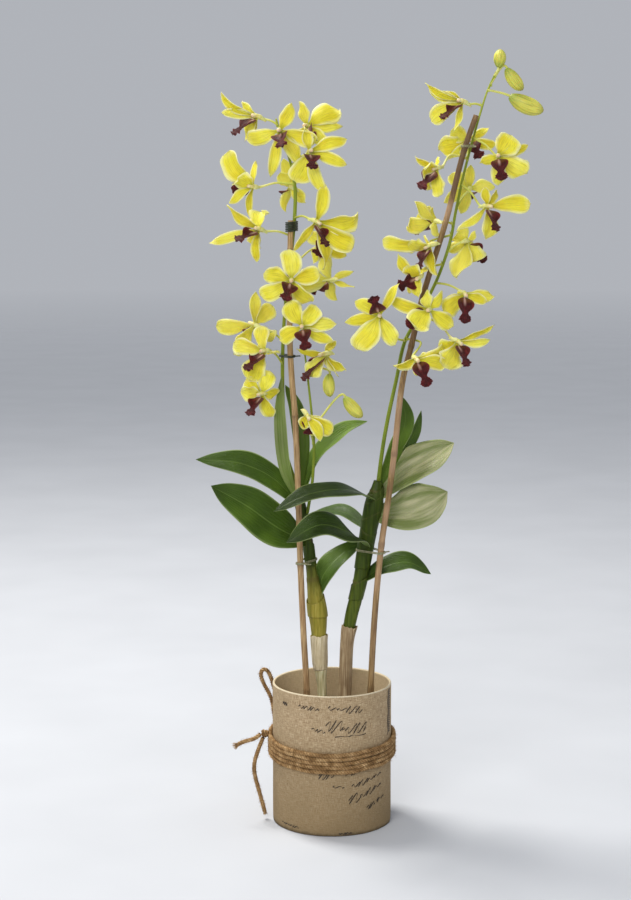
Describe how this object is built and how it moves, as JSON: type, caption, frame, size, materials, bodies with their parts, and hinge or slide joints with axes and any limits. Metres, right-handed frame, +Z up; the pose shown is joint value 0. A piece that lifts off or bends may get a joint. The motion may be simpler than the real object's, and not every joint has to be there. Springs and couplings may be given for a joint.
{
  "type": "potted orchid",
  "caption": "Potted yellow Dendrobium orchid with maroon lips, leafy canes and bamboo stakes, in a paper-covered pot tied with twine.",
  "frame": {"origin": "centre of the pot's base, on the table", "axes": "+X to the right in the picture, +Y away from the viewer, +Z up along the pot"},
  "size_m": [0.3326, 0.1332, 0.755],
  "materials": {
    "kraft_board": "rough",
    "liner_plastic": "satin",
    "bark": "rough",
    "jute": "rough",
    "bamboo": "satin",
    "leaf": "semi-gloss",
    "dry_sheath": "matte",
    "tepal": "satin",
    "lip": "velvety",
    "tie_wire": "matte"
  },
  "bodies": {
    "root": {"pot": "kraft_board", "nursery_pot": "liner_plastic", "growing_medium": "bark", "twine_wraps": "jute", "twine_knot": "jute", "twine_bow_loop": "jute", "twine_tail_short": "jute", "twine_tail_long": "jute", "stake_left": "bamboo", "stake_right": "bamboo", "cane_left": "leaf", "cane_right": "leaf", "sheath_left": "dry_sheath", "sheath_right": "dry_sheath", "spray_left": "tepal", "spray_side": "tepal", "spray_right": "tepal", "lip_left_01": "lip", "lip_left_02": "lip", "lip_left_03": "lip", "lip_left_04": "lip", "lip_left_05": "lip", "lip_left_06": "lip", "lip_left_07": "lip", "lip_left_08": "lip", "lip_left_09": "lip", "lip_left_10": "lip", "lip_left_11": "lip", "lip_left_12": "lip", "lip_left_13": "lip", "lip_left_14": "lip", "lip_side_01": "lip", "lip_side_02": "lip", "lip_side_03": "lip", "lip_right_01": "lip", "lip_right_02": "lip", "lip_right_03": "lip", "lip_right_04": "lip", "lip_right_05": "lip", "lip_right_06": "lip", "lip_right_07": "lip", "lip_right_08": "lip", "lip_right_09": "lip", "lip_right_10": "lip", "lip_right_11": "lip", "lip_right_12": "lip", "lip_right_13": "lip", "lip_right_14": "lip", "lip_right_15": "lip", "tie_left_low": "tie_wire", "tie_left_mid": "tie_wire", "tie_left_top": "tie_wire", "tie_right_low": "tie_wire", "tie_right_mid": "tie_wire", "tie_right_top": "tie_wire"}
  },
  "joints": []
}
